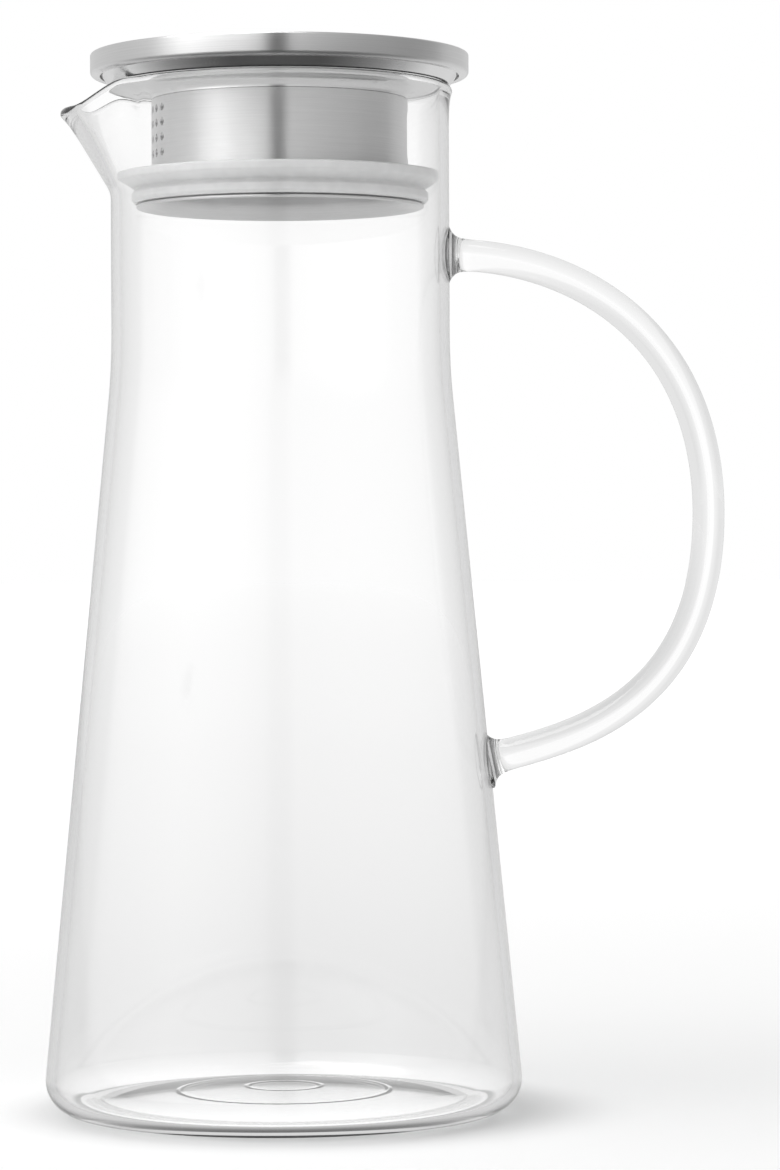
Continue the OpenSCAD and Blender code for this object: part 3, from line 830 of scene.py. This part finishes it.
studio = {
    # level round the horizon, in degrees from +Y towards +X, as reflections see it
    "round": [(-180, 0.03), (-176, 0.06), (-172, 0.8), (-168, 0.96), (-164, 0.98), (-158, 1.1), (-152, 1.2),
              (-146, 1.33), (-139, 1.47), (-130, 1.7), (-122, 1.8), (-112, 1.5), (-104, 1.2), (-96, 0.95),
              (-88, 0.88), (-79, 0.8), (-66, 0.72), (-50, 0.7), (0, 0.7), (50, 0.62), (61, 0.55), (67, 0.42),
              (81, 0.38), (98, 0.42), (106, 0.48), (127, 0.58), (140, 0.66), (158, 0.79), (168, 0.84),
              (172, 0.8), (176, 0.06), (180, 0.03)],
    "roundTop": 2.2,
    # as the outermost faces of the glass mirror it
    "glass": [(-180, 0.1), (-176, 0.12), (-171, 0.5), (-158, 0.85), (-139, 1.1), (-122, 1.2), (-104, 1.05),
              (-88, 0.92), (-66, 0.82), (-50, 0.78), (0, 0.75), (50, 0.7), (81, 0.64), (106, 0.62),
              (140, 0.6), (160, 0.52), (171, 0.48), (176, 0.12), (180, 0.1)],
    "glassTop": 1.5,
    "glassDepth": 3.5,      # passes through glass up to which a sharp ray counts as such a reflection
    # and as it is seen through glass: a white sheet with two edges
    "seen": [(-180, 0.9), (-90, 0.85), (-45, 0.8), (-25, 0.79), (-9.2, 0.92), (-8.2, 1.03), (0, 1.04),
             (6.2, 1.03), (7.2, 0.92), (20, 0.79), (45, 0.8), (90, 0.85), (180, 0.9)],
    "seenTop": 1.2,
    "seenMiddle": 1.04,     # its level straight behind
    "diffuse": 0.55,        # times the square of the level round the horizon: what lights matt things
    "lampPower": 9.0,
    "lampSize": (1.1, 0.9),
    "lampPlace": (-0.35, -0.25, 1.25),
    "lampAim": (0.0, 0.0, 0.1),
}
floorFacts = {
    "half": 30.0,
    "albedo": 0.7,
    "weak": 0.3,            # albedo as seen through glass, where most of the level is painted in
    "sheen": 0.14,
    "sheenRoughness": 0.12,
    # levels by far / (far + 1): added for the camera, and as seen through glass less what the lamp gives. Seen
    # through glass they are painted light and shade: bright under the foot, darker some way out where the
    # carafe's shadow falls
    "white": [(0.0, 0.42), (0.2, 0.44), (0.45, 0.66), (0.7, 0.85), (1.0, 0.95)],
    "through": [(0.0, 0.86), (0.045, 0.86), (0.075, 0.70), (0.13, 0.55), (0.39, 0.69), (0.68, 0.84),
                (0.86, 0.87), (0.95, 0.90), (1.0, 0.95)],
    "halfWidth": 0.048,     # of the part of the body that the white sheet is seen through
    "sideShare": (0.08, 0.2),            # where the sheet's edges fade in, by far / (far + 1)
    # the narrow gap between the foot's round corner and the floor: its painted shade line, from where to where
    "gapShade": 0.85,
    "gapFrom": (0.0498, 0.0506),
    "gapTo": (0.0512, 0.0545),
    # painted shadow: how dark the floor is painted close to the foot, by distance from a point beside the axis,
    # up to the reach given below
    "paintedShadow": [(0.0, 0.5), (0.58, 0.52), (0.66, 0.66), (0.76, 0.88), (0.88, 1.0), (1.0, 1.0)],
    "paintedShadowReach": 0.09,
    "paintedShadowSide": 0.004,
    # painted levels of the floor in reflections: near the foot, and away from it by y / far from -1 to 1 as 0
    # to 1
    "near": 0.68,
    "away": [(0.0, 0.08), (0.12, 0.08), (0.3, 0.15), (0.5, 0.28), (0.65, 0.5), (0.8, 0.8), (1.0, 0.8)],
    "awayFrom": (0.062, 0.09),
    "inside": 0.68,         # painted level away from the foot, for what is reflected inside the carafe
    "insideFrom": (0.12, 0.3),
    "horizonShare": (0.5, 0.97),         # where the floor turns into the horizon, by far / (far + 1)
}


def levelAt(tree, x, y, name):
    # level of one of the studio's horizons in the direction of x and y
    share = calc(tree, "ADD", calc(tree, "DIVIDE", calc(tree, "ARCTAN2", x, y), 2 * math.pi), 0.5)
    top = studio[name + "Top"]
    stops = [((degrees + 180) / 360, level / top) for degrees, level in studio[name]]
    return calc(tree, "MULTIPLY", ramp(tree, share, stops), top)


def choose(tree, test, yes, no):
    # yes where test is 1, no where it is 0, and a mix in between
    rest = calc(tree, "MULTIPLY", calc(tree, "SUBTRACT", 1.0, test), no)
    return calc(tree, "ADD", calc(tree, "MULTIPLY", test, yes), rest)


def between(tree, value, low, high):
    # 0 below low, 1 above high, smooth in between
    return addNode(tree, "ShaderNodeMapRange", {
        "Value": value, "From Min": low, "From Max": high, "To Min": 0.0, "To Max": 1.0},
        interpolation_type="SMOOTHSTEP").outputs[0]


def makeWorld():
    world = bpy.data.worlds.new("studio")
    bpy.context.scene.world = world
    world.use_nodes = True
    tree = world.node_tree
    tree.nodes.clear()
    out = tree.nodes.new("ShaderNodeOutputWorld")
    way = addNode(tree, "ShaderNodeSeparateXYZ", {0: addNode(tree, "ShaderNodeTexCoord").outputs["Generated"]})
    light = addNode(tree, "ShaderNodeLightPath")
    x, y = way.outputs[0], way.outputs[1]
    # a sharp ray that never passed far into the glass is a reflection in its outermost faces
    shallow = calc(tree, "LESS_THAN", light.outputs["Transmission Depth"], studio["glassDepth"])
    plain = calc(tree, "MULTIPLY", light.outputs["Is Singular Ray"], shallow)
    glossy = choose(tree, plain, levelAt(tree, x, y, "glass"), levelAt(tree, x, y, "round"))
    diffuse = calc(tree, "MULTIPLY", calc(tree, "MULTIPLY", glossy, glossy), studio["diffuse"])
    level = choose(tree, light.outputs["Is Transmission Ray"], levelAt(tree, x, y, "seen"), diffuse)
    level = choose(tree, calc(tree, "GREATER_THAN", light.outputs["Glossy Depth"], 0.5), glossy, level)
    level = choose(tree, light.outputs["Is Camera Ray"], 1.0, level)
    background = addNode(tree, "ShaderNodeBackground", {"Color": (1, 1, 1, 1), "Strength": level})
    tree.links.new(background.outputs[0], out.inputs[0])


makeWorld()

lampData = bpy.data.lights.new("overheadLamp", "AREA")
lampData.shape = "RECTANGLE"
lampData.size, lampData.size_y = studio["lampSize"]
lampData.energy = studio["lampPower"]
lamp = bpy.data.objects.new("overheadLamp", lampData)
bpy.context.scene.collection.objects.link(lamp)
lamp.location = studio["lampPlace"]
lampWay = Vector(studio["lampAim"]) - Vector(studio["lampPlace"])
lamp.rotation_euler = lampWay.to_track_quat("-Z", "Y").to_euler()


def gray(level):
    return (level, level, level, 1)


def paintedFloorSeenThroughGlass(tree, x, y, share):
    # painted light and shade: the floor seen through glass takes its level from distance, and from the white
    # sheet's edges beside the body
    level = ramp(tree, share, [(d, v / studio["seenTop"]) for d, v in floorFacts["through"]], "B_SPLINE")
    level = calc(tree, "MULTIPLY", level, studio["seenTop"])
    wide = floorFacts["halfWidth"]
    outside = calc(tree, "SUBTRACT", x, calc(tree, "MAXIMUM", calc(tree, "MINIMUM", x, wide), -wide))
    side = calc(tree, "DIVIDE", levelAt(tree, outside, y, "seen"), studio["seenMiddle"])
    fade = between(tree, share, *floorFacts["sideShare"])
    return choose(tree, fade, calc(tree, "MULTIPLY", level, side), level)


def paintedFloorInReflections(tree, x, y, far, share, inside, paintedGapFactor):
    # painted reflection levels: bright near the foot, farther out by direction, and like the horizon at last
    direction = addNode(tree, "ShaderNodeMapRange", {
        "Value": calc(tree, "DIVIDE", y, calc(tree, "MAXIMUM", far, 0.001)),
        "From Min": -1.0, "From Max": 1.0}).outputs[0]
    away = choose(tree, inside, floorFacts["inside"], ramp(tree, direction, floorFacts["away"]))
    reach = choose(tree, inside, between(tree, far, *floorFacts["insideFrom"]),
                   between(tree, far, *floorFacts["awayFrom"]))
    level = calc(tree, "MULTIPLY", choose(tree, reach, away, floorFacts["near"]), paintedGapFactor)
    return choose(tree, between(tree, share, *floorFacts["horizonShare"]), levelAt(tree, x, y, "round"), level)


def floorForCamera(tree, x, y, share):
    # matt and nearly white, with a soft sheen and a painted shadow close to the foot
    beside = calc(tree, "SUBTRACT", x, floorFacts["paintedShadowSide"])
    near = calc(tree, "DIVIDE", lengthOf(tree, beside, y), floorFacts["paintedShadowReach"])
    paintedShadow = ramp(tree, near, floorFacts["paintedShadow"], "B_SPLINE")
    matt = addNode(tree, "ShaderNodeBsdfDiffuse", {
        "Color": calc(tree, "MULTIPLY", paintedShadow, floorFacts["albedo"])})
    white = ramp(tree, share, floorFacts["white"], "B_SPLINE")
    bright = addNode(tree, "ShaderNodeEmission", {"Strength": calc(tree, "MULTIPLY", white, paintedShadow)})
    both = addNode(tree, "ShaderNodeAddShader", {0: matt.outputs[0], 1: bright.outputs[0]})
    sheen = addNode(tree, "ShaderNodeBsdfGlossy", {
        "Color": (1, 1, 1, 1), "Roughness": floorFacts["sheenRoughness"]})
    return addNode(tree, "ShaderNodeMixShader", {
        0: floorFacts["sheen"], 1: both.outputs[0], 2: sheen.outputs[0]}).outputs[0]


def floorMaterial():
    # the floor's material holds painted shade: a shadow near the foot, a line in the foot's gap, and painted
    # levels seen through glass and in reflections
    material, tree, out = startMaterial("whiteFloorPaintedShade")
    place = addNode(tree, "ShaderNodeSeparateXYZ", {0: addNode(tree, "ShaderNodeTexCoord").outputs["Object"]})
    x, y = place.outputs[0], place.outputs[1]
    far = lengthOf(tree, x, y)
    # share is 0 at the axis and nears 1 far away
    share = calc(tree, "DIVIDE", far, calc(tree, "ADD", far, 1.0))
    light = addNode(tree, "ShaderNodeLightPath")
    inside = calc(tree, "GREATER_THAN", light.outputs["Transmission Depth"], 1.5)
    # painted shade: a dark line on the floor in the narrow gap round the foot, by distance from the axis
    beyond = calc(tree, "SUBTRACT", 1.0, between(tree, far, *floorFacts["gapTo"]))
    gap = calc(tree, "MULTIPLY", between(tree, far, *floorFacts["gapFrom"]), beyond)
    paintedGapFactor = calc(tree, "SUBTRACT", 1.0, calc(tree, "MULTIPLY", gap, floorFacts["gapShade"]))
    through = calc(tree, "MULTIPLY", paintedFloorSeenThroughGlass(tree, x, y, share), paintedGapFactor)
    weak = addNode(tree, "ShaderNodeBsdfDiffuse", {"Color": gray(floorFacts["weak"])})
    forThrough = addNode(tree, "ShaderNodeAddShader", {
        0: weak.outputs[0], 1: addNode(tree, "ShaderNodeEmission", {"Strength": through}).outputs[0]})
    forMirror = addNode(tree, "ShaderNodeEmission", {
        "Strength": paintedFloorInReflections(tree, x, y, far, share, inside, paintedGapFactor)})
    others = addNode(tree, "ShaderNodeMixShader", {
        0: calc(tree, "GREATER_THAN", light.outputs["Glossy Depth"], 0.5),
        1: forThrough.outputs[0], 2: forMirror.outputs[0]})
    shaded = addNode(tree, "ShaderNodeBsdfDiffuse", {"Color": gray(floorFacts["albedo"])})
    lit = addNode(tree, "ShaderNodeMixShader", {
        0: light.outputs["Is Diffuse Ray"], 1: others.outputs[0], 2: shaded.outputs[0]})
    mix = addNode(tree, "ShaderNodeMixShader", {
        0: light.outputs["Is Camera Ray"], 1: lit.outputs[0], 2: floorForCamera(tree, x, y, share)})
    tree.links.new(mix.outputs[0], out.inputs["Surface"])
    return material


def makeFloor():
    mesh = bpy.data.meshes.new("floor")
    half = floorFacts["half"]
    corners = [(-half, -half, 0), (half, -half, 0), (half, half, 0), (-half, half, 0)]
    mesh.from_pydata(corners, [], [(0, 1, 2, 3)])
    mesh.materials.append(floorMaterial())
    floor = bpy.data.objects.new("floor", mesh)
    bpy.context.scene.collection.objects.link(floor)


makeFloor()
bpy.context.scene.view_settings.view_transform = "Standard"
print("studio made")
